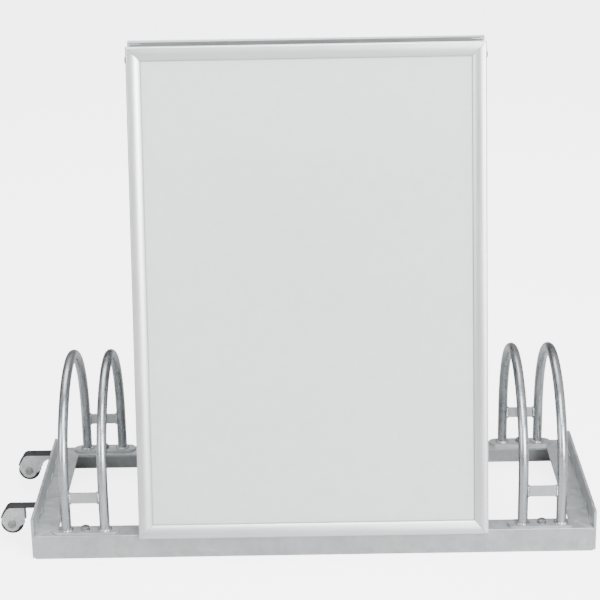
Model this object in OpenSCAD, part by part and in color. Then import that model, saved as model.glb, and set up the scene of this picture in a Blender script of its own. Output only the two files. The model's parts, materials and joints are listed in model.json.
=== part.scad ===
// Sandwich board on a mobile bicycle rack: two snap frames lean together over a rack
// of welded steel angle with two pairs of wheel hoops and two transport rollers.
// X runs along the rack, Y from front to rear, Z up from the floor.

/* [Rack] */
// Length of the rack over its end plates
rack_length = 1010; // [960:1:1300]
// Depth of the rack over its two rails
rack_depth = 390; // [340:1:500]
// Height of the rails
rail_height = 45; // [36:1:60]
// Width of the rails' top flange
flange_width = 40; // [36:1:50]
// Steel thickness of the rails
rail_t = 4; // [3:0.5:6]
// Height of the end plates' top edge above the floor
end_plate_top = 78; // [72:1:95]
// Thickness of the end plates
end_plate_t = 5; // [4:0.5:8]
// How far the end plates stop short of the rack's rear face
end_plate_setback = 31; // [0:1:40]

/* [Hoops] */
// Outside diameter of the hoop tube
tube_d = 18; // [14:0.5:22]
// Wall thickness of the hoop tube
tube_wall = 2; // [1:0.25:3]
// Straight length of a hoop's legs
hoop_leg = 76; // [50:1:120]
// Spacing of the two hoops of a pair
hoop_spacing = 69; // [55:1:85]
// Distance from a rack end to the centre of its pair
pair_inset = 96; // [85:1:110]
// Distance from a rail's outer face to the hoop legs
foot_inset = 16; // [16:1:22]
// Height of the tie bars' centre above the foot plates
tie_height = 62; // [30:1:70]

/* [Boards] */
// Outside width of a snap frame
board_width = 623; // [420:1:680]
// Outside height of a snap frame
board_height = 870; // [600:1:1200]
// Width of a snap cover's face
cover_width = 24.5; // [24:0.5:30]
// Gap between the two boards' backs at the top
top_gap = 34; // [30:1:60]
// Height of the boards' lower back edge above the floor
board_bottom = 40; // [38:0.5:43]

/* [Rollers] */
// Outside diameter of a roller's tyre
roller_d = 42; // [40:1:54]
// Width of a roller's bracket and fork
roller_width = 22; // [20:1:30]
// Distance between the two rollers
roller_spacing = 230; // [150:1:260]
// Distance from the end plate's outer face to a roller's axle
roller_out = 45; // [40:1:50]
// Height of the guard strips' top above the floor
strip_top = 70; // [68:1:72]

/* [Hidden] */

// Colours
galvanised = [0.72, 0.74, 0.75];
bright_zinc = [0.80, 0.81, 0.82];
anodised = [0.86, 0.87, 0.88];
black_steel = [0.10, 0.10, 0.11];
black_rubber = [0.05, 0.05, 0.05];
grey_nylon = [0.55, 0.56, 0.57];
poster_white = [0.90, 0.91, 0.92];

// Clearances
slide_gap = 0.05;
body_gap = 0.3;
touch = 0.001;

// Round sections
round_fn = 64;

// M8 and M6 fasteners: shank radius, head and nut width across flats, heights
m8_r = 4;
m8_flats = 13;
m8_head = 5.3;
m8_nut = 6.5;
m8_washer_r = 8;
m8_washer_t = 1.6;
m6_r = 3;
m6_flats = 10;
m6_head = 4;
m6_nut = 5;

// Rack
root_r = 5;
edge_r = 1.2;
inner_length = rack_length - 2 * end_plate_t;
end_plate_bottom = 2;
rail_y = rack_depth / 2;
foot_plate_t = 5;
foot_plate_width = 2 * foot_inset - 2;
foot_plate_length = hoop_spacing + 52;
foot_top = rail_height + foot_plate_t;
pair_x = rack_length / 2 - pair_inset;
leg_y = rail_y - foot_inset;
tie_t = 5;
tie_bar_height = 20;

// Rollers
roller_strip_t = 2;
roller_clear = 1;
cheek_t = 2;
cheek_rim = 6.5;
roller_r = roller_d / 2;
wheel_width = roller_width - 2 * cheek_t - 2 * roller_clear;
tyre_width = wheel_width - 1;
hub_r = roller_r - 7;
sleeve_r = 5;
guard_r = roller_r + roller_clear + roller_strip_t;
roller_z = 36.5;
roller_x = rack_length / 2 + roller_out;
strip_rise = strip_top - roller_z;
nose_r = 12;
nose_x = -1;
nose_z = strip_rise - nose_r;
nose_angle = 180 - asin((guard_r - nose_r) / norm([nose_x, nose_z])) - atan2(nose_x, nose_z);
fade_end = 195;
heel_angle = 340;
heel_rise = 2;
tail_depth = 9;
roller_reach = roller_out + max(roller_r, guard_r * cos(180 - nose_angle));

// The origin lies under the centre of everything, rollers included
origin_shift = roller_reach / 2;

// Boards
board_standoff = 1.5;
lean = asin((rail_y + board_standoff - top_gap / 2) / board_height);
face_height = 14.2;
crest_in = 8;
face_drop = 5.2;
face_run = cover_width - crest_in;
face_r = (face_run * face_run + face_drop * face_drop) / (2 * face_drop);
cover_t = 1.3;
bead_in = 3.4;
bead_up = 10.8;
bead_r = 1.7;
socket_r = bead_r + slide_gap + 1.3;
floor_t = 1.5;
wall_t = 1.6;
base_width = cover_width - 2;
mid_wall = 12;
shelf_top = 5.4;
panel_in = cover_width - 10;
panel_t = 0.8;
poster_t = 0.4;
sheet_t = 0.6;
stack_top = shelf_top + panel_t + poster_t + sheet_t;
mitre_gap = 0.5;
key_leg = 42;
screw_r = 2.1;
screw_in = 17.5;
bracket_x = 170;
bracket_width = 40;
bracket_t = 3;
bracket_depth = 34;
bracket_rise = 32;
bracket_hole_y = rail_y - 22;
bracket_foot_y = rail_y + board_standoff - bracket_t / 2
    - (rail_height - board_bottom) * tan(lean);

// Hinge at the top
pivot_down = 23;
ear_t = 2;
ear_length = 40;
ear_tip_r = 9;
pivot_v = board_height - pivot_down;
pivot_w = (pivot_v * sin(lean) - rail_y - board_standoff) / cos(lean);
pivot_z = board_bottom + pivot_v * cos(lean) + pivot_w * sin(lean);
front_ear_x = board_width / 2 - ear_t;
rear_ear_x = front_ear_x - ear_t - body_gap;
ear_flange_x = board_width / 2 - base_width;
rivet_r = 2;
rivet_x = board_width / 2 - (mid_wall + base_width) / 2;
rivet_rows = [pivot_v - 15, pivot_v + 1];

// ---------------------------------------------------------------- helpers

module on_rack(x = 0, y = 0, z = 0) translate([origin_shift + x, y, z]) children();

// Front board's own axes: x across, y up the board, z out of its face
module lean_back() {
    translate([origin_shift, -rail_y - board_standoff, board_bottom])
        rotate([90 - lean, 0, 0]) children();
}

module in_board(rear) {
    if (rear) mirror([0, 1, 0]) lean_back() children();
    else lean_back() children();
}

// Extrudes a section drawn in (y, z) along x, centred
module along_x(length) {
    translate([-length / 2, 0, 0]) rotate([90, 0, 90]) linear_extrude(length) children();
}

// Extrudes a section drawn in (x, z) along y, centred
module along_y(length) {
    translate([0, length / 2, 0]) rotate([90, 0, 0]) linear_extrude(length) children();
}

module four_feet() {
    for (sx = [-1, 1], sy = [-1, 1]) on_rack(sx * pair_x, sy * leg_y, 0) children();
}

module hex_bolt(r, flats, head, length) {
    cylinder(h = head, d = flats / cos(30), $fn = 6);
    translate([0, 0, -length]) cylinder(h = length + 0.5, r = r, $fn = round_fn);
}

module hex_nut(r, flats, height) {
    difference() {
        cylinder(h = height, d = flats / cos(30), $fn = 6);
        translate([0, 0, -1]) cylinder(h = height + 2, r = r + slide_gap, $fn = round_fn);
    }
}

// ---------------------------------------------------------------- rack

module rail_section() {
    difference() {
        union() {
            square([rail_t, rail_height]);
            translate([0, rail_height - rail_t]) square([flange_width, rail_t]);
            translate([rail_t - touch, rail_height - rail_t - root_r]) square(root_r + touch);
        }
        translate([rail_t + root_r, rail_height - rail_t - root_r])
            circle(r = root_r, $fn = round_fn);
        difference() {
            translate([-1, rail_height - edge_r]) square(1 + edge_r);
            translate([edge_r, rail_height - edge_r]) circle(r = edge_r, $fn = round_fn);
        }
    }
}

// A rail along x, outer face at y = 0, with both ends cut at 45 degrees
module mitred_rail(length) {
    cut = flange_width + 1;
    difference() {
        along_x(length) rail_section();
        for (end = [-1, 1]) scale([end, 1, 1]) translate([-length / 2, 0, -1])
            linear_extrude(rail_height + 2) polygon([[-1, -1], [-1, cut], [cut, cut]]);
    }
}

module long_rail() {
    difference() {
        translate([0, -rail_y, 0]) mitred_rail(inner_length);
        for (end = [-1, 1]) {
            translate([end * pair_x, -leg_y, rail_height - rail_t - 1])
                cylinder(h = rail_t + 2, r = m8_r + 0.5, $fn = round_fn);
            translate([end * bracket_x, -bracket_hole_y, rail_height - rail_t - 1])
                cylinder(h = rail_t + 2, r = m6_r + 0.3, $fn = round_fn);
        }
    }
}

module front_rail() color(galvanised) on_rack() long_rail();
module rear_rail() color(galvanised) on_rack() mirror([0, 1, 0]) long_rail();

module end_rail() {
    translate([-inner_length / 2, 0, 0]) rotate([0, 0, -90]) mitred_rail(rack_depth);
}

module left_end_rail() color(galvanised) on_rack() end_rail();
module right_end_rail() color(galvanised) on_rack() mirror([1, 0, 0]) end_rail();

module end_plate() {
    translate([-rack_length / 2, -rail_y, end_plate_bottom])
        cube([end_plate_t, rack_depth - end_plate_setback, end_plate_top - end_plate_bottom]);
}

module left_end_plate() color(galvanised) on_rack() end_plate();
module right_end_plate() color(galvanised) on_rack() mirror([1, 0, 0]) end_plate();

// ---------------------------------------------------------------- hoops

module hoop_core(r, over = 0) {
    for (side = [-1, 1]) translate([0, side * leg_y, -over])
        cylinder(h = hoop_leg + over, r = r, $fn = round_fn);
    translate([0, 0, hoop_leg]) rotate([90, 0, 90])
        rotate_extrude(angle = 180, $fn = 96) translate([leg_y, 0]) circle(r = r, $fn = round_fn);
}

module hoop(x) color(bright_zinc) on_rack(x, 0, foot_top) difference() {
    hoop_core(tube_d / 2);
    hoop_core(tube_d / 2 - tube_wall, 1);
}

module left_outer_hoop() hoop(-pair_x - hoop_spacing / 2);
module left_inner_hoop() hoop(-pair_x + hoop_spacing / 2);
module right_inner_hoop() hoop(pair_x - hoop_spacing / 2);
module right_outer_hoop() hoop(pair_x + hoop_spacing / 2);

module foot_plate(sx, sy) color(galvanised) on_rack(sx * pair_x, sy * leg_y, rail_height)
    linear_extrude(foot_plate_t) difference() {
        union() {
            straight = foot_plate_length - foot_plate_width;
            square([straight, foot_plate_width], center = true);
            for (end = [-1, 1]) translate([end * straight / 2, 0])
                circle(d = foot_plate_width, $fn = round_fn);
        }
        circle(r = m8_r + 0.5, $fn = round_fn);
    }

module left_front_foot_plate() foot_plate(-1, -1);
module left_rear_foot_plate() foot_plate(-1, 1);
module right_front_foot_plate() foot_plate(1, -1);
module right_rear_foot_plate() foot_plate(1, 1);

// Flat bars between the legs of a pair, their ends coped to the tubes
module tie_bars(sx) color(galvanised)
    for (sy = [-1, 1]) on_rack(sx * pair_x, sy * leg_y, foot_top + tie_height) difference() {
        cube([hoop_spacing, tie_t, tie_bar_height], center = true);
        for (end = [-1, 1]) translate([end * hoop_spacing / 2, 0, -tie_bar_height])
            cylinder(h = 2 * tie_bar_height, r = tube_d / 2 + slide_gap, $fn = round_fn);
    }

module left_tie_bars() tie_bars(-1);
module right_tie_bars() tie_bars(1);

module foot_bolts() color(bright_zinc) four_feet() translate([0, 0, foot_top + m8_washer_t])
    hex_bolt(m8_r, m8_flats, m8_head, foot_plate_t + rail_t + m8_washer_t + m8_nut + 3);

module foot_washers() color(bright_zinc) four_feet() translate([0, 0, foot_top])
    difference() {
        cylinder(h = m8_washer_t, r = m8_washer_r, $fn = round_fn);
        translate([0, 0, -1])
            cylinder(h = m8_washer_t + 2, r = m8_r + slide_gap, $fn = round_fn);
    }

// ---------------------------------------------------------------- rollers

// Roller axes: origin on the axle, x away from the rack's middle is negative
module on_roller(side) {
    on_rack(-roller_x, side * roller_spacing / 2, roller_z) children();
}

// One edge of the guard strip, from the end plate over the nose and down round the tyre
function guard_edge(inset, steps = 10) = concat(
    [[roller_out, strip_rise - inset]],
    [for (i = [0:steps]) let(a = 90 + (nose_angle - 90) * i / steps)
        [nose_x, nose_z] + (nose_r - inset) * [cos(a), sin(a)]],
    [(guard_r - inset) * [cos(nose_angle), sin(nose_angle)]]);

// The guard strip, which butts against the end plate
module guard_outline() {
    inner = guard_edge(roller_strip_t);
    polygon(concat(guard_edge(0), [for (i = [len(inner) - 1:-1:0]) inner[i]]));
}

module roller_bracket(side) color(black_steel) on_roller(side)
    along_y(roller_width) guard_outline();

module front_roller_bracket() roller_bracket(-1);
module rear_roller_bracket() roller_bracket(1);

// A fork's cheek fills the guard strip down to its end and then rounds in over the tyre.
// Its tail runs back to x = tail, with a hollow curve under it if that is past the tyre.
module cheek_outline(tail, steps = 8) {
    r = roller_r - cheek_rim;
    edge = guard_edge(roller_strip_t + slide_gap);
    r_start = guard_r - roller_strip_t - slide_gap;
    reach = tail - guard_r;
    rise = strip_rise - tail_depth - heel_rise;
    polygon(concat(
        [[tail, edge[0][1]]],
        [for (i = [1:len(edge) - 1]) edge[i]],
        [for (i = [1:steps]) let(a = nose_angle + (fade_end - nose_angle) * i / steps)
            (r_start + (r - r_start) * i / steps) * [cos(a), sin(a)]],
        [for (i = [1:2 * steps]) let(a = fade_end + (heel_angle - fade_end) * i / (2 * steps))
            r * [cos(a), sin(a)]],
        [[guard_r, heel_rise]],
        [for (i = [1:steps]) let(a = 90 * i / steps) if (reach > 0)
            [tail - reach * cos(a), heel_rise + rise * sin(a)]]));
}

// Pressed fork: two cheeks joined by a web under the guard strip
module roller_fork(side, tail) color(bright_zinc) on_roller(side) {
    web_top = strip_rise - roller_strip_t;
    difference() {
        union() {
            for (face = [-1, 1]) translate([0, face * (roller_width - cheek_t) / 2, 0])
                along_y(cheek_t) cheek_outline(tail);
            translate([nose_x, -roller_width / 2, web_top - cheek_t])
                cube([roller_r - nose_x, roller_width, cheek_t]);
        }
        along_y(roller_width + 2) circle(r = m8_r + slide_gap, $fn = round_fn);
    }
}

module front_roller_fork() roller_fork(-1, guard_r);
module rear_roller_fork() roller_fork(1, roller_out - body_gap);

module roller_hub(side) color(grey_nylon) on_roller(side) rotate([90, 0, 0])
    rotate_extrude($fn = 96) polygon([
        [sleeve_r + slide_gap, -wheel_width / 2], [sleeve_r + 4, -wheel_width / 2],
        [sleeve_r + 4, -wheel_width / 4], [hub_r - 3, -wheel_width / 4],
        [hub_r - 3, -tyre_width / 2], [hub_r, -tyre_width / 2],
        [hub_r, tyre_width / 2], [hub_r - 3, tyre_width / 2],
        [hub_r - 3, wheel_width / 4], [sleeve_r + 4, wheel_width / 4],
        [sleeve_r + 4, wheel_width / 2], [sleeve_r + slide_gap, wheel_width / 2]]);

module front_roller_hub() roller_hub(-1);
module rear_roller_hub() roller_hub(1);

module roller_tyre(side) color(black_rubber) on_roller(side) rotate([90, 0, 0])
    rotate_extrude($fn = 96) translate([hub_r, 0]) {
        tread = roller_r - hub_r;
        shoulder = 3;
        translate([0, -tyre_width / 2]) square([tread - shoulder, tyre_width]);
        translate([0, -tyre_width / 2 + shoulder]) square([tread, tyre_width - 2 * shoulder]);
        for (face = [-1, 1])
            translate([tread - shoulder, face * (tyre_width / 2 - shoulder)])
                circle(r = shoulder, $fn = 32);
    }

module front_roller_tyre() roller_tyre(-1);
module rear_roller_tyre() roller_tyre(1);

module roller_axle_bolts() color(bright_zinc) for (side = [-1, 1]) on_roller(side)
    translate([0, -roller_width / 2, 0]) rotate([90, 0, 0])
        hex_bolt(m8_r, m8_flats, m8_head, roller_width + m8_nut + 2);

module roller_axle_sleeves() color(bright_zinc) for (side = [-1, 1]) on_roller(side)
    along_y(roller_width - 2 * cheek_t) difference() {
        circle(r = sleeve_r, $fn = round_fn);
        circle(r = m8_r + slide_gap, $fn = round_fn);
    }

// Nuts under the feet and on the axle bolts
module m8_nuts() color(bright_zinc) {
    four_feet() translate([0, 0, rail_height - rail_t - m8_nut]) hex_nut(m8_r, m8_flats, m8_nut);
    for (side = [-1, 1]) on_roller(side) translate([0, roller_width / 2 + m8_nut, 0])
        rotate([90, 0, 0]) hex_nut(m8_r, m8_flats, m8_nut);
}

// ---------------------------------------------------------------- boards

// Places a bar drawn for the bottom edge on one edge of the board.
// Its section runs inwards from the edge as y and out of the board as z.
module on_edge(edge) {
    if (edge == "bottom") children();
    if (edge == "top") translate([0, board_height, 0]) rotate([0, 0, 180]) children();
    if (edge == "left") translate([-board_width / 2, board_height / 2, 0])
        rotate([0, 0, -90]) children();
    if (edge == "right") translate([board_width / 2, board_height / 2, 0])
        rotate([0, 0, 90]) children();
}

function edge_length(edge) = (edge == "left" || edge == "right") ? board_height : board_width;

module mitred_bar(length, gap) {
    reach = 40;
    end = length / 2 - gap * sqrt(2) / 2;
    intersection() {
        along_x(length) children();
        translate([0, 0, -5]) linear_extrude(30)
            polygon([[-end - 2, -2], [end + 2, -2], [end - reach, reach], [-end + reach, reach]]);
    }
}

// Section of the fixed base profile, from its outer edge inwards
module base_section() {
    square([base_width, floor_t]);
    square([wall_t, bead_up - socket_r - body_gap]);
    translate([0, bead_up - socket_r - body_gap - 1.2]) square([bead_in + 0.7, 1.2]);
    translate([bead_in - 0.55, bead_up - socket_r - 1]) square([1.1, socket_r + 1]);
    translate([bead_in, bead_up]) circle(r = bead_r, $fn = round_fn);
    translate([mid_wall, 0]) square([1.2, stack_top + 0.8]);
    translate([mid_wall, shelf_top - 1]) square([base_width - mid_wall, 1]);
    translate([base_width - 1, 0]) square([1, shelf_top]);
}

// Section of the snap cover, which turns on the base's bead
module cover_section() {
    lip = stack_top + body_gap;
    difference() {
        intersection() {
            translate([crest_in, face_height - face_r]) difference() {
                circle(r = face_r, $fn = 180);
                circle(r = face_r - cover_t, $fn = 180);
            }
            translate([bead_in, lip]) square([cover_width - bead_in, 20]);
        }
        translate([bead_in, bead_up]) circle(r = bead_r + slide_gap, $fn = round_fn);
    }
    translate([cover_width - cover_t, lip]) square([cover_t, face_height - face_drop - lip]);
    translate([crest_in + 0.6, bead_up - 0.8]) square([1, face_height - bead_up]);
    translate([bead_in, bead_up]) difference() {
        circle(r = socket_r, $fn = round_fn);
        circle(r = bead_r + slide_gap, $fn = round_fn);
        polygon([[0, 0], 6 * [cos(140), sin(140)], [-6, -6], 6 * [cos(295), sin(295)]]);
    }
}

module base_frame(rear) color(anodised) in_board(rear) difference() {
    for (edge = ["bottom", "top", "left", "right"])
        on_edge(edge) mitred_bar(edge_length(edge), slide_gap) base_section();
    for (side = [-1, 1]) translate([side * bracket_x, screw_in, -1])
        cylinder(h = floor_t + 2, r = rear ? screw_r + body_gap : screw_r + slide_gap,
                 $fn = round_fn);
    for (side = [-1, 1], v = rivet_rows) translate([side * rivet_x, v, -1])
        cylinder(h = floor_t + 2, r = rivet_r + slide_gap, $fn = round_fn);
}

// A snap cover for the bottom edge, its socket cut short below the bead so that
// neighbouring covers pass each other in the corners
module cover_bar(length) {
    relief = bead_in + socket_r + body_gap;
    difference() {
        mitred_bar(length, mitre_gap) cover_section();
        for (end = [-1, 1])
            translate([end * length / 2 - relief, -1, -1]) cube([2 * relief, relief + 1, bead_up + 1]);
    }
}

module cover(rear, edge) color(anodised) in_board(rear)
    on_edge(edge) cover_bar(edge_length(edge));

// One flat sheet of the stack behind the covers
module sheet_layer(rear, low, thickness) in_board(rear)
    translate([-board_width / 2 + panel_in, panel_in, low])
        cube([board_width - 2 * panel_in, board_height - 2 * panel_in, thickness]);

module back_panel(rear) color(galvanised) sheet_layer(rear, shelf_top, panel_t);
module poster(rear) color(poster_white) sheet_layer(rear, shelf_top + panel_t, poster_t);
module cover_sheet(rear) color([0.9, 0.93, 0.95, 0.35])
    sheet_layer(rear, shelf_top + panel_t + poster_t, sheet_t);

module corner_keys(rear) color(bright_zinc) in_board(rear) {
    low = wall_t + 0.2;
    high = mid_wall - 0.2;
    translate([0, board_height / 2, floor_t]) for (sx = [-1, 1], sy = [-1, 1])
        scale([sx, sy, 1]) translate([-board_width / 2, -board_height / 2, 0])
            linear_extrude(4) polygon([[low, low], [key_leg, low], [key_leg, high],
                                       [high, high], [high, key_leg], [low, key_leg]]);
}

// Part of a ring between two angles, counted from +x
module arc_band(r_out, r_in, from, to) {
    far = 2 * r_out;
    steps = 6;
    difference() {
        intersection() {
            circle(r = r_out, $fn = round_fn);
            polygon(concat([[0, 0]],
                [for (i = [0:steps]) far * [cos(from + (to - from) * i / steps),
                                            sin(from + (to - from) * i / steps)]]));
        }
        circle(r = r_in, $fn = round_fn);
    }
}

// Leaf springs that hold a cover shut or open
module snap_springs(rear) color(bright_zinc) in_board(rear) {
    leaf = 0.5;
    curl = 1.2;
    for (edge = ["bottom", "top", "left", "right"]) on_edge(edge)
        for (place = edge_length(edge) > board_width ? [-0.3, 0, 0.3] : [-0.25, 0.25])
            translate([place * edge_length(edge), 0, 0]) along_x(14) {
                translate([5, floor_t]) square([4.6, leaf]);
                translate([9.1, floor_t]) square([leaf, bead_up - 0.8 - 0.4 - floor_t - curl]);
                translate([9.6 - curl, bead_up - 0.8 - 0.4 - curl])
                    arc_band(curl, curl - leaf, 0, 150);
            }
}

module front_base_frame() base_frame(false);
module front_top_cover() cover(false, "top");
module front_bottom_cover() cover(false, "bottom");
module front_left_cover() cover(false, "left");
module front_right_cover() cover(false, "right");
module front_back_panel() back_panel(false);
module front_poster() poster(false);
module front_cover_sheet() cover_sheet(false);
module front_corner_keys() corner_keys(false);
module front_snap_springs() snap_springs(false);
module rear_base_frame() base_frame(true);
module rear_top_cover() cover(true, "top");
module rear_bottom_cover() cover(true, "bottom");
module rear_left_cover() cover(true, "left");
module rear_right_cover() cover(true, "right");
module rear_back_panel() back_panel(true);
module rear_poster() poster(true);
module rear_cover_sheet() cover_sheet(true);
module rear_corner_keys() corner_keys(true);
module rear_snap_springs() snap_springs(true);

// ---------------------------------------------------------------- top hinge

function ear_x(rear) = rear ? rear_ear_x : front_ear_x;

// An angle riveted to the back of a frame, its ear reaching back to the pivot
module hinge_ears(rear) color(galvanised) in_board(rear) for (side = [-1, 1])
    scale([side, 1, 1]) difference() {
        union() {
            translate([ear_flange_x, pivot_v - ear_length / 2, -ear_t])
                cube([ear_x(rear) + ear_t - ear_flange_x, ear_length, ear_t]);
            translate([ear_x(rear), 0, 0]) along_ear() {
                polygon([[pivot_v - ear_length / 2, 0], [pivot_v + ear_length / 2, 0],
                         [pivot_v + ear_length / 2, -ear_t - 4],
                         [pivot_v + ear_tip_r, pivot_w], [pivot_v - ear_tip_r, pivot_w],
                         [pivot_v - ear_length / 2, -ear_t - 4]]);
                translate([pivot_v, pivot_w]) circle(r = ear_tip_r, $fn = round_fn);
            }
        }
        translate([ear_x(rear) - 1, 0, 0]) along_ear(ear_t + 2)
            translate([pivot_v, pivot_w]) circle(r = m6_r + slide_gap, $fn = round_fn);
        for (v = rivet_rows) translate([rivet_x, v, -ear_t - 1])
            cylinder(h = ear_t + 2, r = rivet_r + slide_gap, $fn = round_fn);
    }

// Extrudes an outline drawn in the board's (y, z) along x from zero
module along_ear(thickness = ear_t) rotate([90, 0, 90]) linear_extrude(thickness) children();

module ear_rivets(rear) color(bright_zinc) in_board(rear)
    for (side = [-1, 1], v = rivet_rows)
        translate([side * rivet_x, v, 0]) {
            translate([0, 0, -ear_t]) cylinder(h = ear_t + floor_t, r = rivet_r, $fn = round_fn);
            translate([0, 0, -ear_t - 1.2]) cylinder(h = 1.2, r = 3.6, $fn = round_fn);
            translate([0, 0, floor_t]) cylinder(h = 1, r = 3, $fn = round_fn);
        }

module front_hinge_ears() hinge_ears(false);
module rear_hinge_ears() hinge_ears(true);
module front_ear_rivets() ear_rivets(false);
module rear_ear_rivets() ear_rivets(true);

module on_pivot(side) on_rack(side * board_width / 2, 0, pivot_z) rotate([0, side * 90, 0])
    children();

module pivot_bolts() color(black_steel) for (side = [-1, 1]) on_pivot(side) {
    cylinder(h = 1.2, r = m6_flats / 2 + 1, $fn = round_fn);
    translate([0, 0, 1.2])
        hex_bolt(m6_r, m6_flats, m6_head, 2 * ear_t + 2 * body_gap + m6_nut + 2);
}

// ---------------------------------------------------------------- rail brackets

// Angle on the rail's top flange, its upright leaning against the board's back
module rail_bracket(rear, side) {
    difference() {
        union() {
            on_rack(side * bracket_x - bracket_width / 2, 0, rail_height)
                translate([0, rear ? bracket_foot_y - bracket_depth : -bracket_foot_y, 0])
                    cube([bracket_width, bracket_depth, bracket_t]);
            intersection() {
                in_board(rear) translate([side * bracket_x - bracket_width / 2, 0, -bracket_t])
                    cube([bracket_width, bracket_rise, bracket_t]);
                on_rack(side * bracket_x, 0, rail_height + 100)
                    cube([2 * bracket_width, 2 * rack_depth, 200], center = true);
            }
        }
        on_rack(side * bracket_x, (rear ? 1 : -1) * bracket_hole_y, rail_height - 1)
            cylinder(h = bracket_t + 2, r = m6_r + 0.3, $fn = round_fn);
        in_board(rear) translate([side * bracket_x, screw_in, -bracket_t - 1])
            cylinder(h = bracket_t + 2, r = screw_r + slide_gap, $fn = round_fn);
    }
}

module rail_brackets() color(galvanised)
    for (side = [-1, 1]) {
        rail_bracket(false, side);
        rail_bracket(true, side);
    }

module rail_bracket_bolts() color(bright_zinc) for (sx = [-1, 1], sy = [-1, 1])
    on_rack(sx * bracket_x, sy * bracket_hole_y, rail_height + bracket_t)
        hex_bolt(m6_r, m6_flats, m6_head, bracket_t + rail_t + m6_nut + 2);

// Nuts on the pivot bolts and under the rail brackets
module m6_nuts() color(bright_zinc) {
    for (sx = [-1, 1], sy = [-1, 1])
        on_rack(sx * bracket_x, sy * bracket_hole_y, rail_height - rail_t - m6_nut)
            hex_nut(m6_r, m6_flats, m6_nut);
    for (side = [-1, 1]) on_pivot(side)
        translate([0, 0, -2 * ear_t - 2 * body_gap - m6_nut])
            hex_nut(m6_r, m6_flats, m6_nut);
}

// Screws from inside the brackets into the boards' bottom profiles
module board_screws() color(bright_zinc) for (side = [-1, 1], rear = [false, true])
    in_board(rear) translate([side * bracket_x, screw_in, 0]) {
        translate([0, 0, -bracket_t - 2.5]) cylinder(h = 2.5, r = 4, $fn = round_fn);
        translate([0, 0, -bracket_t]) cylinder(h = bracket_t + 4, r = screw_r, $fn = round_fn);
    }

// ---------------------------------------------------------------- nodes

front_rail();
rear_rail();
left_end_rail();
right_end_rail();
left_end_plate();
right_end_plate();
left_outer_hoop();
left_inner_hoop();
right_inner_hoop();
right_outer_hoop();
left_front_foot_plate();
left_rear_foot_plate();
right_front_foot_plate();
right_rear_foot_plate();
left_tie_bars();
right_tie_bars();
foot_bolts();
foot_washers();
m8_nuts();
front_roller_bracket();
rear_roller_bracket();
front_roller_fork();
rear_roller_fork();
front_roller_hub();
rear_roller_hub();
front_roller_tyre();
rear_roller_tyre();
roller_axle_bolts();
roller_axle_sleeves();
front_base_frame();
front_top_cover();
front_bottom_cover();
front_left_cover();
front_right_cover();
front_back_panel();
front_poster();
front_cover_sheet();
front_corner_keys();
front_snap_springs();
rear_base_frame();
rear_top_cover();
rear_bottom_cover();
rear_left_cover();
rear_right_cover();
rear_back_panel();
rear_poster();
rear_cover_sheet();
rear_corner_keys();
rear_snap_springs();
front_hinge_ears();
rear_hinge_ears();
front_ear_rivets();
rear_ear_rivets();
pivot_bolts();
m6_nuts();
rail_brackets();
rail_bracket_bolts();
board_screws();
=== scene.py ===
"""Sandwich board on a mobile bicycle rack: looks built around the packed frame."""

import json
import math

import bmesh
import bpy
from mathutils import Matrix, Vector, noise

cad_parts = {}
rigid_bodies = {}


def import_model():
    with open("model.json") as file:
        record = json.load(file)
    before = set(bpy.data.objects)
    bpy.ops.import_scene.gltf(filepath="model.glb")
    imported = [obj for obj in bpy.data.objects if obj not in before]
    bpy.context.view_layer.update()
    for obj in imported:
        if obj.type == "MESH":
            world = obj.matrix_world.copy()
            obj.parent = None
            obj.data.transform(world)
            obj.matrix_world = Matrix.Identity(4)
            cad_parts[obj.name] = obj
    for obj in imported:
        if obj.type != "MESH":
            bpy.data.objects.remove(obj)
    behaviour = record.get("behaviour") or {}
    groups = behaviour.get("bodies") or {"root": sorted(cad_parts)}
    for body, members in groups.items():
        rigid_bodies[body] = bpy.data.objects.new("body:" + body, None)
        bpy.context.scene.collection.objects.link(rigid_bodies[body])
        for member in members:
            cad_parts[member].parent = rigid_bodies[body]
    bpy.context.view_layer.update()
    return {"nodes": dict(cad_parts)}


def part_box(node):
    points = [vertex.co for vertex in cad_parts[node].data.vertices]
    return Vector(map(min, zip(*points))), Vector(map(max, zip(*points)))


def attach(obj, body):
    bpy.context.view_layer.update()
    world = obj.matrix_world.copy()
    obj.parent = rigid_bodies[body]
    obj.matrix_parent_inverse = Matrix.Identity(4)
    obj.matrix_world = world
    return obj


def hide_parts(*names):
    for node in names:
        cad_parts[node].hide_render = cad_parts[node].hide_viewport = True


bl_info = {
    "name": "Sandwich board on a bicycle rack",
    "version": (1, 0, 0),
    "blender": (4, 5, 0),
    "location": "View3D > Sidebar > Board rack",
    "description": "Builds the rack, hoops, rollers and snap frames around the CAD frame",
    "category": "Add Mesh",
}

for leftover in list(bpy.data.objects):
    bpy.data.objects.remove(leftover, do_unlink=True)
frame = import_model()

NODES = frame["nodes"]
RACK = "rack"
SIDES = {"left": -1, "right": 1}
ENDS = {"front": -1, "rear": 1}
MM = 0.001


# ---------------------------------------------------------------- measures from the frame

def size_of(node):
    low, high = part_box(node)
    return high - low


def middle_of(node):
    low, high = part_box(node)
    return (low + high) / 2


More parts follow.
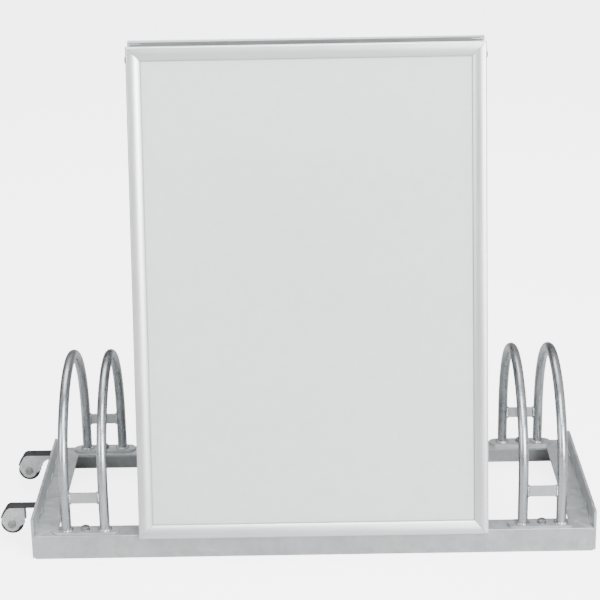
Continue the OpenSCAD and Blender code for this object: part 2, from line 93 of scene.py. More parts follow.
FRONT_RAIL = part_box("front_rail")
REAR_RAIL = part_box("rear_rail")
RAIL_TOP = FRONT_RAIL[1].z
FOOT_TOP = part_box("left_front_foot_plate")[1].z
TUBE_R = size_of("left_outer_hoop").x / 2
LEG_Y = size_of("left_outer_hoop").y / 2 - TUBE_R
ARCH_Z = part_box("left_outer_hoop")[1].z - TUBE_R - LEG_Y
TIE_Z = middle_of("left_tie_bars").z
TIE_HEIGHT = size_of("left_tie_bars").z
TIE_T = size_of("left_tie_bars").y - 2 * LEG_Y
ROLLER = middle_of("front_roller_tyre")
ROLLER_R = size_of("front_roller_tyre").x / 2
TYRE_WIDTH = size_of("front_roller_tyre").y
HUB_R = size_of("front_roller_hub").x / 2
HUB_WIDTH = size_of("front_roller_hub").y
FORK_WIDTH = size_of("front_roller_fork").y


# ---------------------------------------------------------------- settings

class RackSettings(bpy.types.PropertyGroup):
    """Finish and detail of the welded rack"""

    edge_round: bpy.props.FloatProperty(
        name="Edge rounding", description="Rounding of the steel's edges",
        default=0.0009, min=0.0001, max=0.002, subtype="DISTANCE", unit="LENGTH")
    weld_size: bpy.props.FloatProperty(
        name="Weld bead", description="Radius of a weld bead",
        default=0.0031, min=0.001, max=0.006, subtype="DISTANCE", unit="LENGTH")
    spangle_size: bpy.props.FloatProperty(
        name="Spangle", description="Width of one zinc crystal",
        default=0.012, min=0.003, max=0.05, subtype="DISTANCE", unit="LENGTH")
    zinc_colour: bpy.props.FloatVectorProperty(
        name="Zinc", description="Mean colour of the hot-dip zinc",
        default=(0.48, 0.50, 0.505), size=3, min=0, max=1, subtype="COLOR")
    tube_colour: bpy.props.FloatVectorProperty(
        name="Tube zinc", description="Mean colour of the hoops' brighter zinc",
        default=(0.47, 0.49, 0.50), size=3, min=0, max=1, subtype="COLOR")


class BoardSettings(bpy.types.PropertyGroup):
    """Finish of the two snap frames"""

    profile_colour: bpy.props.FloatVectorProperty(
        name="Profile", description="Colour of the anodised profiles",
        default=(0.80, 0.81, 0.83), size=3, min=0, max=1, subtype="COLOR")
    poster_colour: bpy.props.FloatVectorProperty(
        name="Poster", description="Colour of the blank poster",
        default=(0.80, 0.815, 0.82), size=3, min=0, max=1, subtype="COLOR")
    grain_size: bpy.props.FloatProperty(
        name="Die lines", description="Spacing of the extrusion lines along a profile",
        default=0.0006, min=0.0001, max=0.005, subtype="DISTANCE", unit="LENGTH")


class RollerSettings(bpy.types.PropertyGroup):
    """Detail of the two transport rollers"""

    groove_depth: bpy.props.FloatProperty(
        name="Tread groove", description="Depth of the tyre's grooves",
        default=0.0006, min=0.0001, max=0.002, subtype="DISTANCE", unit="LENGTH")
    strip_colour: bpy.props.FloatVectorProperty(
        name="Guard strip", description="Colour of the coated guard strip",
        default=(0.012, 0.0125, 0.014), size=3, min=0, max=1, subtype="COLOR")


class StageSettings(bpy.types.PropertyGroup):
    """Floor, light and camera"""

    floor_colour: bpy.props.FloatVectorProperty(
        name="Floor", description="Colour of the floor",
        default=(0.92, 0.92, 0.92), size=3, min=0, max=1, subtype="COLOR")
    floor_glow: bpy.props.FloatProperty(
        name="Floor glow", description="Light that lifts the floor and the backdrop to white",
        default=4.0, min=0, max=20)
    floor_bounce: bpy.props.FloatProperty(
        name="Floor bounce", description="Share of light that the floor throws back at the rack",
        default=0.55, min=0, max=1, subtype="FACTOR")
    sky_strength: bpy.props.FloatProperty(
        name="Surround light", description="Strength of the soft light all round",
        default=0.85, min=0, max=5)
    key_power: bpy.props.FloatProperty(
        name="Key light", description="Power of the large light at the right",
        default=230, min=0, max=2000, unit="POWER")
    lens: bpy.props.FloatProperty(
        name="Lens", description="Focal length of the camera",
        default=112.0, min=20, max=300, subtype="DISTANCE_CAMERA", unit="CAMERA")


# ---------------------------------------------------------------- node helpers

class Shader:
    """A node material under construction, with short calls for what all the finishes share."""

    def __init__(self, name):
        self.material = bpy.data.materials.new(name)
        self.material.use_nodes = True
        self.tree = self.material.node_tree
        self.principled = self.tree.nodes["Principled BSDF"]
        self.coords = self.add("ShaderNodeTexCoord").outputs["Object"]

    def add(self, kind, **values):
        node = self.tree.nodes.new(kind)
        for key, value in values.items():
            setattr(node, key, value)
        return node

    def link(self, source, target):
        self.tree.links.new(source, target)

    def fix(self, **values):
        """Sets constants straight on the shader's sockets."""
        for key, value in values.items():
            self.principled.inputs[key.replace("_", " ")].default_value = value

    def stretched(self, scale, source=None):
        node = self.add("ShaderNodeMapping")
        node.inputs["Scale"].default_value = scale
        self.link(source or self.coords, node.inputs["Vector"])
        return node.outputs["Vector"]

    def uv(self, layer):
        return self.add("ShaderNodeUVMap", uv_map=layer).outputs["UV"]

    def noise(self, scale, detail=3, roughness=0.55, distortion=0, source=None):
        node = self.add("ShaderNodeTexNoise")
        node.inputs["Scale"].default_value = scale
        node.inputs["Detail"].default_value = detail
        node.inputs["Roughness"].default_value = roughness
        node.inputs["Distortion"].default_value = distortion
        self.link(source or self.coords, node.inputs["Vector"])
        return node.outputs["Fac"]

    def crystals(self, scale):
        """Random grey of each zinc crystal."""
        node = self.add("ShaderNodeTexVoronoi")
        node.inputs["Scale"].default_value = scale
        node.inputs["Randomness"].default_value = 1
        self.link(self.coords, node.inputs["Vector"])
        grey = self.add("ShaderNodeSeparateColor")
        self.link(node.outputs["Color"], grey.inputs["Color"])
        return grey.outputs["Red"]

    def ramp(self, fac, *stops):
        node = self.add("ShaderNodeValToRGB")
        bar = node.color_ramp.elements
        while len(bar) < len(stops):
            bar.new(0.5)
        for element, (place, colour) in zip(bar, stops):
            element.position = place
            element.color = (*colour, 1) if len(colour) == 3 else colour
        self.link(fac, node.inputs["Fac"])
        return node.outputs["Color"]

    def between(self, fac, low, high, start=0.0, end=1.0):
        """Maps a grey to a range of values."""
        node = self.add("ShaderNodeMapRange")
        for socket, value in zip(("From Min", "From Max", "To Min", "To Max"),
                                 (start, end, low, high)):
            node.inputs[socket].default_value = value
        self.link(fac, node.inputs["Value"])
        return node.outputs["Result"]

    def mix(self, fac, a, b):
        node = self.add("ShaderNodeMix", data_type="RGBA")
        for socket, value in ((0, fac), (6, a), (7, b)):
            if isinstance(value, (int, float)):
                node.inputs[socket].default_value = value
            elif isinstance(value, tuple):
                node.inputs[socket].default_value = (*value, 1)
            else:
                self.link(value, node.inputs[socket])
        return node.outputs[2]

    def maths(self, operation, a, b):
        node = self.add("ShaderNodeMath", operation=operation)
        for socket, value in ((0, a), (1, b)):
            if isinstance(value, (int, float)):
                node.inputs[socket].default_value = value
            else:
                self.link(value, node.inputs[socket])
        return node.outputs["Value"]

    def bumps(self, *layers):
        """Stacks bumps of (height, strength, distance) onto the shader's normal."""
        normal = None
        for height, strength, distance in layers:
            node = self.add("ShaderNodeBump")
            node.inputs["Strength"].default_value = strength
            node.inputs["Distance"].default_value = distance
            self.link(height, node.inputs["Height"])
            if normal:
                self.link(normal, node.inputs["Normal"])
            normal = node.outputs["Normal"]
        self.link(normal, self.principled.inputs["Normal"])

    def colour(self, source):
        self.link(source, self.principled.inputs["Base Color"])

    def roughness(self, source):
        self.link(source, self.principled.inputs["Roughness"])


def tinted(colour, factor, shift=(0, 0, 0)):
    return tuple(min(1, max(0, c * factor + s)) for c, s in zip(colour, shift))


# ---------------------------------------------------------------- finishes

def hot_dip_zinc(settings):
    """Matt zinc with faint crystals, cloudy patches, drain streaks and handling marks."""
    s = Shader("hot_dip_zinc")
    zinc = tuple(settings.zinc_colour)
    cell = s.crystals(1 / settings.spangle_size)
    fine = s.crystals(2.6 / settings.spangle_size)
    cloud = s.noise(9, detail=4, roughness=0.6, distortion=0.6)
    patch = s.noise(4.5, detail=2, roughness=0.5)
    runs = s.noise(1, detail=4, roughness=0.65, source=s.stretched((60, 60, 7)))
    grime = s.noise(38, detail=5, roughness=0.7)
    base = s.ramp(cloud, (0.30, tinted(zinc, 0.86)), (0.52, zinc), (0.72, tinted(zinc, 1.16)))
    base = s.mix(s.between(patch, 0, 0.5, 0.42, 0.68), base,
                 tinted(zinc, 1.02, (-0.02, 0.004, 0.03)))
    base = s.mix(0.30, base, s.ramp(cell, (0.0, tinted(zinc, 0.82)), (1.0, tinted(zinc, 1.22))))
    base = s.mix(0.14, base, s.ramp(fine, (0.0, tinted(zinc, 0.8)), (1.0, tinted(zinc, 1.2))))
    base = s.mix(s.between(runs, 0, 0.32, 0.52, 0.75), base, tinted(zinc, 1.25))
    base = s.mix(s.between(grime, 0, 0.45, 0.60, 0.78), base, tinted(zinc, 0.66))
    s.colour(base)
    rough = s.maths("ADD", s.between(cell, 0.40, 0.56), s.between(cloud, -0.05, 0.08, 0.3, 0.7))
    s.roughness(rough)
    s.fix(Metallic=0.72, IOR=1.5)
    s.bumps((cloud, 0.10, 0.0015), (cell, 0.05, 0.0004), (runs, 0.12, 0.0006),
            (grime, 0.10, 0.0002))
    return s.material


def streaked_zinc(settings, uv_layer=None):
    """Brighter zinc on drawn tube, with long streaks along it."""
    s = Shader("streaked_tube_zinc" if uv_layer else "bright_weld_zinc")
    zinc = tuple(settings.tube_colour)
    along = s.uv(uv_layer) if uv_layer else s.coords
    streak = s.noise(1, detail=4, roughness=0.6,
                     source=s.stretched((95, 9, 1) if uv_layer else (60, 60, 40), along))
    broad = s.noise(1, detail=2, roughness=0.5,
                    source=s.stretched((30, 3.2, 1) if uv_layer else (18, 18, 18), along))
    mottle = s.noise(70, detail=3, roughness=0.6)
    speck = s.noise(260, detail=2, roughness=0.5)
    base = s.ramp(streak, (0.32, tinted(zinc, 0.62)), (0.5, zinc), (0.66, tinted(zinc, 1.3)))
    base = s.mix(s.between(broad, 0, 0.6, 0.35, 0.7), base,
                 tinted(zinc, 0.86, (-0.01, 0.0, 0.015)))
    base = s.mix(s.between(mottle, 0, 0.5, 0.5, 0.8), base, tinted(zinc, 1.2))
    s.colour(base)
    s.roughness(s.maths("ADD", s.between(streak, 0.20, 0.36, 0.3, 0.7),
                        s.between(mottle, -0.04, 0.06, 0.3, 0.7)))
    s.fix(Metallic=0.97, IOR=1.5)
    s.bumps((streak, 0.22, 0.0007), (mottle, 0.16, 0.0006), (speck, 0.06, 0.0002))
    return s.material


def plated_steel(name, colour, rough=(0.22, 0.40), metallic=0.95):
    """Thin bright plating on a turned or pressed part."""
    s = Shader(name)
    turned = s.noise(1, detail=3, roughness=0.5, source=s.stretched((180, 180, 900)))
    mottle = s.noise(150, detail=4, roughness=0.65)
    stain = s.noise(42, detail=3, roughness=0.6)
    base = s.ramp(mottle, (0.3, tinted(colour, 0.74)), (0.55, colour), (0.75, tinted(colour, 1.16)))
    base = s.mix(s.between(stain, 0, 0.45, 0.52, 0.75), base, tinted(colour, 0.72))
    s.colour(base)
    s.roughness(s.between(mottle, rough[0], rough[1], 0.3, 0.7))
    s.fix(Metallic=metallic, IOR=1.5)
    s.bumps((turned, 0.08, 0.0001), (mottle, 0.10, 0.0002))
    return s.material


def coated_black(name, colour, rough):
    """Black coating with a light orange peel and rubbed patches."""
    s = Shader(name)
    peel = s.noise(420, detail=2, roughness=0.5)
    rub = s.noise(60, detail=5, roughness=0.7)
    base = s.ramp(rub, (0.40, colour), (0.62, tinted(colour, 1.6)), (0.76, tinted(colour, 3.0)))
    s.colour(base)
    s.roughness(s.between(rub, rough[0], rough[1], 0.35, 0.7))
    s.fix(Metallic=0.0, IOR=1.5)
    s.bumps((peel, 0.22, 0.0002), (rub, 0.08, 0.0002))
    return s.material


def anodised(settings, name, across):
    """Satin anodised extrusion whose die lines run along the profile."""
    s = Shader(name)
    colour = tuple(settings.profile_colour)
    lines = s.noise(1, detail=5, roughness=0.75, source=s.stretched(across))
    wide = s.noise(1, detail=2, roughness=0.5,
                   source=s.stretched(tuple(0.18 * a for a in across)))
    etch = s.noise(1900, detail=2, roughness=0.6)
    cloud = s.noise(7, detail=3, roughness=0.5)
    base = s.ramp(lines, (0.30, tinted(colour, 0.94)), (0.5, colour), (0.7, tinted(colour, 1.05)))
    base = s.mix(s.between(wide, 0, 0.35, 0.4, 0.7), base, tinted(colour, 0.94, (0, 0.003, 0.01)))
    base = s.mix(s.between(cloud, 0, 0.25, 0.45, 0.7), base, tinted(colour, 1.04))
    s.colour(base)
    s.roughness(s.maths("ADD", s.between(lines, 0.33, 0.42, 0.3, 0.7),
                        s.between(cloud, -0.02, 0.03, 0.3, 0.7)))
    s.fix(Metallic=0.9, IOR=1.5)
    s.bumps((lines, 0.10, 0.0001), (etch, 0.07, 0.00005))
    return s.material


def sheet_steel():
    """Thin galvanised sheet behind the poster, with small crystals and roll marks."""
    s = Shader("galvanised_sheet")
    colour = (0.58, 0.60, 0.61)
    cell = s.crystals(210)
    rolled = s.noise(1, detail=3, roughness=0.6, source=s.stretched((6, 6, 160)))
    cloud = s.noise(5, detail=3, roughness=0.5)
    base = s.ramp(cell, (0.0, tinted(colour, 0.86)), (1.0, tinted(colour, 1.12)))
    base = s.mix(s.between(cloud, 0, 0.5, 0.4, 0.7), base, tinted(colour, 0.95, (0, 0.004, 0.012)))
    s.colour(base)
    s.roughness(s.maths("ADD", s.between(cell, 0.36, 0.48), s.between(rolled, -0.04, 0.05, 0.3, 0.7)))
    s.fix(Metallic=0.75, IOR=1.5)
    s.bumps((cell, 0.04, 0.0002), (rolled, 0.06, 0.0002), (cloud, 0.05, 0.004))
    return s.material


def lip_distance(s):
    """How far a point on either board lies outside the opening between the cover lips."""
    left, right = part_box("front_left_cover")[1].x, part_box("front_right_cover")[0].x
    low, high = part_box("front_cover_sheet")
    lean = math.atan2(high.y - low.y, high.z - low.z)
    inset = left - low.x
    middle = (low + high) / 2
    split = s.add("ShaderNodeSeparateXYZ")
    s.link(s.coords, split.inputs[0])
    x, y, z = (split.outputs[axis] for axis in "XYZ")
    depth = s.maths("MULTIPLY", s.maths("ABSOLUTE", y, 0), math.sin(lean))
    rise = s.maths("SUBTRACT", s.maths("MULTIPLY", z, math.cos(lean)), depth)
    centre = middle.z * math.cos(lean) - abs(middle.y) * math.sin(lean)
    up = s.maths("ABSOLUTE", s.maths("SUBTRACT", rise, centre), 0)
    out = s.maths("ABSOLUTE", s.maths("SUBTRACT", x, (left + right) / 2), 0)
    half_height = math.hypot(high.y - low.y, high.z - low.z) / 2 - inset
    return s.maths("MAXIMUM", s.maths("SUBTRACT", out, (right - left) / 2),
                   s.maths("SUBTRACT", up, half_height))


def blank_paper(settings):
    """Plain matt poster paper: fibres, a faint cloudiness and a slight cockle, with painted shade and a
    painted shadow line along the cover lips.
    """
    s = Shader("blank_poster_paper")
    colour = tuple(settings.poster_colour)
    fibre = s.noise(1, detail=4, roughness=0.7, source=s.stretched((900, 900, 420)))
    cloud = s.noise(2.4, detail=3, roughness=0.5)
    cockle = s.noise(1, detail=2, roughness=0.5, source=s.stretched((4.2, 4.2, 1.6)))
    base = s.ramp(cloud, (0.3, tinted(colour, 0.975, (0, 0.002, 0.003))), (0.7, tinted(colour, 1.025)))
    base = s.mix(s.between(fibre, 0, 0.06, 0.35, 0.65), base, tinted(colour, 0.9))
    near = lip_distance(s)
    # painted shade: the poster darkens within 26 mm of the cover lips, and a painted shadow line darkens
    # it strongly 0.8 to 2.6 mm from them
    base = s.mix(s.between(near, 0, 0.10, -26 * MM, 0), base, tinted(colour, 0.5))
    base = s.mix(s.between(near, 0, 0.75, -2.6 * MM, -0.8 * MM), base, tinted(colour, 0.34))
    s.colour(base)
    s.roughness(s.between(fibre, 0.58, 0.70, 0.3, 0.7))
    s.fix(Metallic=0.0, IOR=1.45)
    s.bumps((cockle, 0.12, 0.006), (fibre, 0.10, 0.0001))
    return s.material


def clear_film():
    """Anti-glare clear sheet: mostly see-through, with a soft wavy gloss and fine haze."""
    s = Shader("clear_cover_film")
    wave = s.noise(1, detail=2, roughness=0.5, source=s.stretched((3.0, 3.0, 1.3)))
    haze = s.noise(46, detail=4, roughness=0.6)
    grain = s.noise(1500, detail=1, roughness=0.5)
    s.colour(s.ramp(haze, (0.3, (0.86, 0.88, 0.89)), (0.7, (0.94, 0.95, 0.96))))
    s.roughness(s.between(haze, 0.20, 0.30, 0.3, 0.7))
    s.fix(Metallic=0.0, IOR=1.38)
    s.link(s.between(haze, 0.10, 0.15, 0.3, 0.7), s.principled.inputs["Alpha"])
    s.bumps((wave, 0.10, 0.006), (grain, 0.05, 0.00004))
    s.material.surface_render_method = "BLENDED"
    return s.material


def tyre_rubber():
    """Moulded black rubber, dusty and slightly scuffed."""
    s = Shader("moulded_rubber")
    dust = s.noise(120, detail=5, roughness=0.7)
    pores = s.noise(900, detail=2, roughness=0.6)
    base = s.ramp(dust, (0.42, (0.018, 0.018, 0.019)), (0.60, (0.030, 0.030, 0.031)),
                  (0.78, (0.075, 0.073, 0.070)))
    s.colour(base)
    s.roughness(s.between(dust, 0.52, 0.74, 0.35, 0.7))
    s.fix(Metallic=0.0, IOR=1.5)
    s.bumps((pores, 0.22, 0.0002), (dust, 0.12, 0.0003))
    return s.material


def nylon():
    """Moulded grey nylon with a fine texture."""
    s = Shader("moulded_nylon")
    cloud = s.noise(90, detail=3, roughness=0.6)
    grain = s.noise(1200, detail=2, roughness=0.6)
    base = s.ramp(cloud, (0.3, (0.36, 0.365, 0.37)), (0.7, (0.47, 0.475, 0.48)))
    s.colour(base)
    s.roughness(s.between(cloud, 0.40, 0.54, 0.3, 0.7))
    s.fix(Metallic=0.0, IOR=1.53)
    s.bumps((grain, 0.16, 0.00015), (cloud, 0.05, 0.0003))
    return s.material


def matt_floor(settings):
    """Plain pale floor with only a breath of unevenness."""
    s = Shader("pale_floor")
    colour = tuple(settings.floor_colour)
    cloud = s.noise(1.4, detail=3, roughness=0.5)
    seen = s.add("ShaderNodeLightPath").outputs["Is Camera Ray"]
    surface = s.ramp(cloud, (0.3, tinted(colour, 0.99)), (0.7, colour))
    s.colour(s.mix(seen, (settings.floor_bounce,) * 3, surface))
    s.roughness(s.between(cloud, 0.85, 0.95, 0.3, 0.7))
    s.fix(Metallic=0.0, IOR=1.3, Emission_Color=(1, 1, 1, 1))
    s.link(s.maths("MULTIPLY", seen, settings.floor_glow), s.principled.inputs["Emission Strength"])
    return s.material


def soft_surround(settings):
    """A soft studio surround, brighter overhead and in front, with a pale backdrop."""
    world = bpy.data.worlds.new("studio_surround")
    world.use_nodes = True
    tree = world.node_tree
    sky = tree.nodes["Background"]
    way = tree.nodes.new("ShaderNodeTexCoord").outputs["Generated"]
    lean = tree.nodes.new("ShaderNodeVectorMath")
    lean.operation = "DOT_PRODUCT"
    lean.inputs[1].default_value = (0.35, -0.55, 0.75)
    ramp = tree.nodes.new("ShaderNodeValToRGB")
    ends = ramp.color_ramp.elements
    ends.new(0.5)
    for end, (place, grey) in zip(ends, ((0.30, 0.16), (0.55, 0.62), (0.9, 1.0))):
        end.position = place
        end.color = (grey, grey, grey * 1.01, 1)
    level = tree.nodes.new("ShaderNodeMapRange")
    level.inputs["From Min"].default_value = -1
    tree.links.new(way, lean.inputs[0])
    tree.links.new(lean.outputs["Value"], level.inputs["Value"])
    tree.links.new(level.outputs["Result"], ramp.inputs["Fac"])
    tree.links.new(ramp.outputs["Color"], sky.inputs["Color"])
    sky.inputs["Strength"].default_value = settings.sky_strength
    backdrop = tree.nodes.new("ShaderNodeBackground")
    backdrop.inputs["Strength"].default_value = settings.floor_glow
    choose = tree.nodes.new("ShaderNodeMixShader")
    seen = tree.nodes.new("ShaderNodeLightPath").outputs["Is Camera Ray"]
    tree.links.new(seen, choose.inputs[0])
    tree.links.new(sky.outputs[0], choose.inputs[1])
    tree.links.new(backdrop.outputs[0], choose.inputs[2])
    tree.links.new(choose.outputs[0], tree.nodes["World Output"].inputs["Surface"])
    return world


FINISHES = {}


def make_finishes(scene):
    """Makes each finish once and keeps it by its name."""
    if FINISHES:
        return
    rack, board, roller = scene.rack_settings, scene.board_settings, scene.roller_settings
    across = 1 / board.grain_size
    FINISHES.update({
        "galvanised_steel": hot_dip_zinc(rack),
        "galvanised_tube": streaked_zinc(rack, "along_tube"),
        "weld": streaked_zinc(rack),
        "zinc_fasteners": plated_steel("bright_plated_fastener", (0.34, 0.34, 0.33), (0.26, 0.44)),
        "black_fasteners": coated_black("black_plated_fastener", (0.035, 0.035, 0.038), (0.3, 0.5)),
        "black_steel": coated_black("black_coated_strip", tuple(roller.strip_colour), (0.44, 0.62)),
        "zinc_plate": plated_steel("pressed_plated_sheet", (0.62, 0.63, 0.64), (0.34, 0.5), 0.8),
        "grey_nylon": nylon(),
        "black_rubber": tyre_rubber(),
        "profile_across": anodised(board, "anodised_level_profile", (5, across, across)),
        "profile_up": anodised(board, "anodised_upright_profile", (across, 60, 5)),
        "panel_steel": sheet_steel(),
        "poster_paper": blank_paper(board),
        "clear_sheet": clear_film(),
    })


# ---------------------------------------------------------------- mesh helpers

def merged_copy(*nodes):
    """The CAD nodes' surfaces in one bmesh, with merged corners and whole flat faces."""
    bm = bmesh.new()
    for node in nodes:
        bm.from_mesh(NODES[node].data)
    bmesh.ops.remove_doubles(bm, verts=bm.verts, dist=2e-6)
    bmesh.ops.dissolve_limit(bm, angle_limit=math.radians(0.6), verts=bm.verts, edges=bm.edges)
    return bm


def round_edges(bm, width, angle=35, segments=2):
    """Bevels every edge that turns by more than the angle."""
    sharp = [e for e in bm.edges
             if len(e.link_faces) == 2 and e.calc_face_angle(0) > math.radians(angle)]
    bmesh.ops.bevel(bm, geom=sharp, offset=width, offset_type="OFFSET", segments=segments,
                    profile=0.5, affect="EDGES", clamp_overlap=True, material=-1)


def finish(bm, name, body, finish_name, replaces=(), crease=40, recalc=True):
    """Closes a bmesh into an object that rides on a body, smooth except at its sharp edges."""
    if recalc:
        bmesh.ops.recalc_face_normals(bm, faces=bm.faces)
    for face in bm.faces:
        face.smooth = True
    limit = math.radians(crease)
    for edge in bm.edges:
        edge.smooth = len(edge.link_faces) == 2 and edge.calc_face_angle(0) < limit
    mesh = bpy.data.meshes.new(name)
    bm.to_mesh(mesh)
    bm.free()
    piece = bpy.data.objects.new(name, mesh)
    bpy.context.scene.collection.objects.link(piece)
    mesh.materials.append(FINISHES[finish_name])
    weighted = piece.modifiers.new("even_faces", "WEIGHTED_NORMAL")
    weighted.keep_sharp = True
    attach(piece, body)
    if replaces:
        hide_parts(*replaces)


def dress(finish_name, *nodes):
    """Gives CAD nodes that keep their shape one of the finishes."""
    for node in nodes:
        materials = NODES[node].data.materials
        for i in range(max(1, len(materials))):
            if materials:
                materials[i] = FINISHES[finish_name]
            else:
                materials.append(FINISHES[finish_name])


def new_parts(bm, make):
    """Runs make() and returns the vertices it added."""
    before = set(bm.verts)
    make()
    return [v for v in bm.verts if v not in before]


def lathe(bm, profile, matrix, steps=64, closed=False):
    """Turns a profile of (radius, height) round the matrix's Z axis."""
    def make():
        corners = [bm.verts.new((r, 0, h)) for r, h in profile]
        pairs = list(zip(corners, corners[1:] + corners[:1] if closed else corners[1:]))
        edges = [bm.edges.new(p) for p in pairs]
        bmesh.ops.spin(bm, geom=corners + edges, cent=(0, 0, 0), axis=(0, 0, 1),
                       angle=2 * math.pi, steps=steps, use_merge=True)
    verts = new_parts(bm, make)
    bmesh.ops.remove_doubles(bm, verts=verts, dist=1e-7)
    verts = [v for v in verts if v.is_valid]
    bmesh.ops.transform(bm, matrix=matrix, verts=verts)


def hex_prism(bm, flats, low, high, chamfer, matrix, both=False):
    """A hexagon across flats with its outer rim chamfered, from low to high."""
    radius = flats / math.sqrt(3)
    height = high - low

    def make():
        made = bmesh.ops.create_cone(bm, cap_ends=True, segments=6, radius1=radius,
                                     radius2=radius, depth=height)
        bmesh.ops.translate(bm, verts=made["verts"], vec=(0, 0, (low + high) / 2))
    verts = new_parts(bm, make)
    corners = [e for v in verts for e in v.link_edges
               if abs(e.verts[0].co.z - e.verts[1].co.z) < 1e-7]
    rims = {e for e in corners if e.verts[0].co.z > (low + high) / 2 or both}
    made = bmesh.ops.bevel(bm, geom=list(rims), offset=chamfer, offset_type="OFFSET",
                           segments=2, profile=0.5, affect="EDGES", clamp_overlap=True,
                           material=-1)
    every = {v for v in verts if v.is_valid} | set(made["verts"])
    bmesh.ops.transform(bm, matrix=matrix, verts=list(every))


def thread_profile(radius, low, high, pitch):
    """Outline of a threaded end, from its tip up to where the thread stops."""
    crest, root = radius, radius - 0.55 * pitch
    outline = [(0, low), (root - 0.2 * MM, low), (root, low + 0.3 * MM)]
    turns = max(1, int((high - low - 0.3 * MM) / pitch))
    for i in range(turns):
        z = low + 0.3 * MM + i * pitch
        outline += [(crest, z + 0.45 * pitch), (crest, z + 0.55 * pitch), (root, z + pitch)]
    outline.append((0, outline[-1][1]))
    return outline


def hex_bolt(bm, matrix, shank_r, flats, head, reach, pitch):
    """A bolt along the matrix's -Z with its head above the origin and a threaded tip."""
    hex_prism(bm, flats, 0.3 * MM, head, 0.75 * MM, matrix)
    collar = 0.475 * flats
    lathe(bm, [(0, 0), (collar, 0), (collar, 0.32 * MM), (0, 0.32 * MM)], matrix, 48)
    dish = 0.62 * flats / 2
    lathe(bm, [(0, head - 0.1 * MM), (dish, head - 0.1 * MM), (dish - 0.4 * MM, head + 0.12 * MM),
               (0, head + 0.12 * MM)], matrix, 40)
    tip = -reach
    thread = min(reach - 1 * MM, 12 * MM)
    lathe(bm, thread_profile(shank_r, tip, tip + thread, pitch), matrix, 32)
    lathe(bm, [(0, tip + thread - pitch), (shank_r - 0.25 * MM, tip + thread - pitch),
               (shank_r - 0.25 * MM, 0.1 * MM), (0, 0.1 * MM)], matrix, 32)


def hex_nut(bm, matrix, shank_r, flats, height):
    """A nut standing on the matrix's origin, chamfered on both faces."""
    hex_prism(bm, flats, 0, height, 0.6 * MM, matrix, both=True)
    rim = shank_r + 0.9 * MM
    for z, lift in ((height, 0.1 * MM), (0, 0)):
        lathe(bm, [(shank_r - 0.1 * MM, z - 0.1 * MM), (rim, z - 0.1 * MM), (rim - 0.5 * MM, z + lift),
                   (shank_r - 0.1 * MM, z + lift)], matrix, 32, closed=True)


def bead(bm, points, radius, segments=10, ripple=0.16, pitch=3.2 * MM, flat=1.0, up=None):
    """A weld bead: a round strand along the points, rippled like laid drops."""
    length = 0
    ring = None
    first = None
    strand = []
    steps = []
    for a, b in zip(points, points[1:]):
        count = max(2, int((b - a).length / (0.7 * MM)))
        steps += [a.lerp(b, i / count) for i in range(count)]
    steps.append(points[-1])
    for i, place in enumerate(steps):
        ahead = steps[min(i + 1, len(steps) - 1)] - steps[max(i - 1, 0)]
        turn = ahead.to_track_quat("Z", "Y").to_matrix().to_4x4()
        wave = 1 + ripple * math.cos(2 * math.pi * length / pitch)
        wave += 0.12 * noise.noise(place * 260)
        edge = min(i, len(steps) - 1 - i)
        taper = min(1, 0.35 + 0.22 * edge)
        size = radius * wave * taper
        made = bmesh.ops.create_circle(bm, cap_ends=False, segments=segments, radius=size,
                                       matrix=Matrix.Translation(place) @ turn)
        loop = list({e for v in made["verts"] for e in v.link_edges})
        if ring:
            bmesh.ops.bridge_loops(bm, edges=ring + loop)
        else:
            first = loop
        ring = loop
        strand += made["verts"]
        if i + 1 < len(steps):
            length += (steps[i + 1] - place).length
    bmesh.ops.holes_fill(bm, edges=first, sides=0)
    bmesh.ops.holes_fill(bm, edges=ring, sides=0)
    if up is not None and flat != 1.0:
        base = points[0]
        for v in strand:
            v.co -= up * ((v.co - base).dot(up) * (1 - flat))


def ring_bead(bm, centre, ring_r, size, squash=0.8, seed=0.0):
    """A weld bead that runs once round a tube standing at the centre."""
    def make():
        made = bmesh.ops.create_circle(bm, cap_ends=False, segments=12, radius=size,
                                       matrix=Matrix.Rotation(math.pi / 2, 4, "X"))
        bmesh.ops.translate(bm, verts=made["verts"], vec=(ring_r, 0, 0))
        edges = list({e for v in made["verts"] for e in v.link_edges})
        bmesh.ops.spin(bm, geom=made["verts"] + edges, cent=(0, 0, 0), axis=(0, 0, 1),
                       angle=2 * math.pi, steps=72, use_merge=True)
    verts = new_parts(bm, make)
    bmesh.ops.remove_doubles(bm, verts=verts, dist=1e-7)
    verts = [v for v in verts if v.is_valid]
    for v in verts:
        turn = math.atan2(v.co.y, v.co.x)
        wave = 1 + 0.10 * math.cos(17 * turn + seed) + 0.10 * math.sin(3 * turn + 2 * seed)
        wave += 0.14 * noise.noise(Vector((math.cos(turn), math.sin(turn), seed)) * 2.3)
        flat = Vector((math.cos(turn) * ring_r, math.sin(turn) * ring_r, 0))
        v.co = flat + (v.co - flat) * wave
        v.co.z *= squash
    bmesh.ops.translate(bm, verts=verts, vec=centre)


# ---------------------------------------------------------------- pieces of the rack

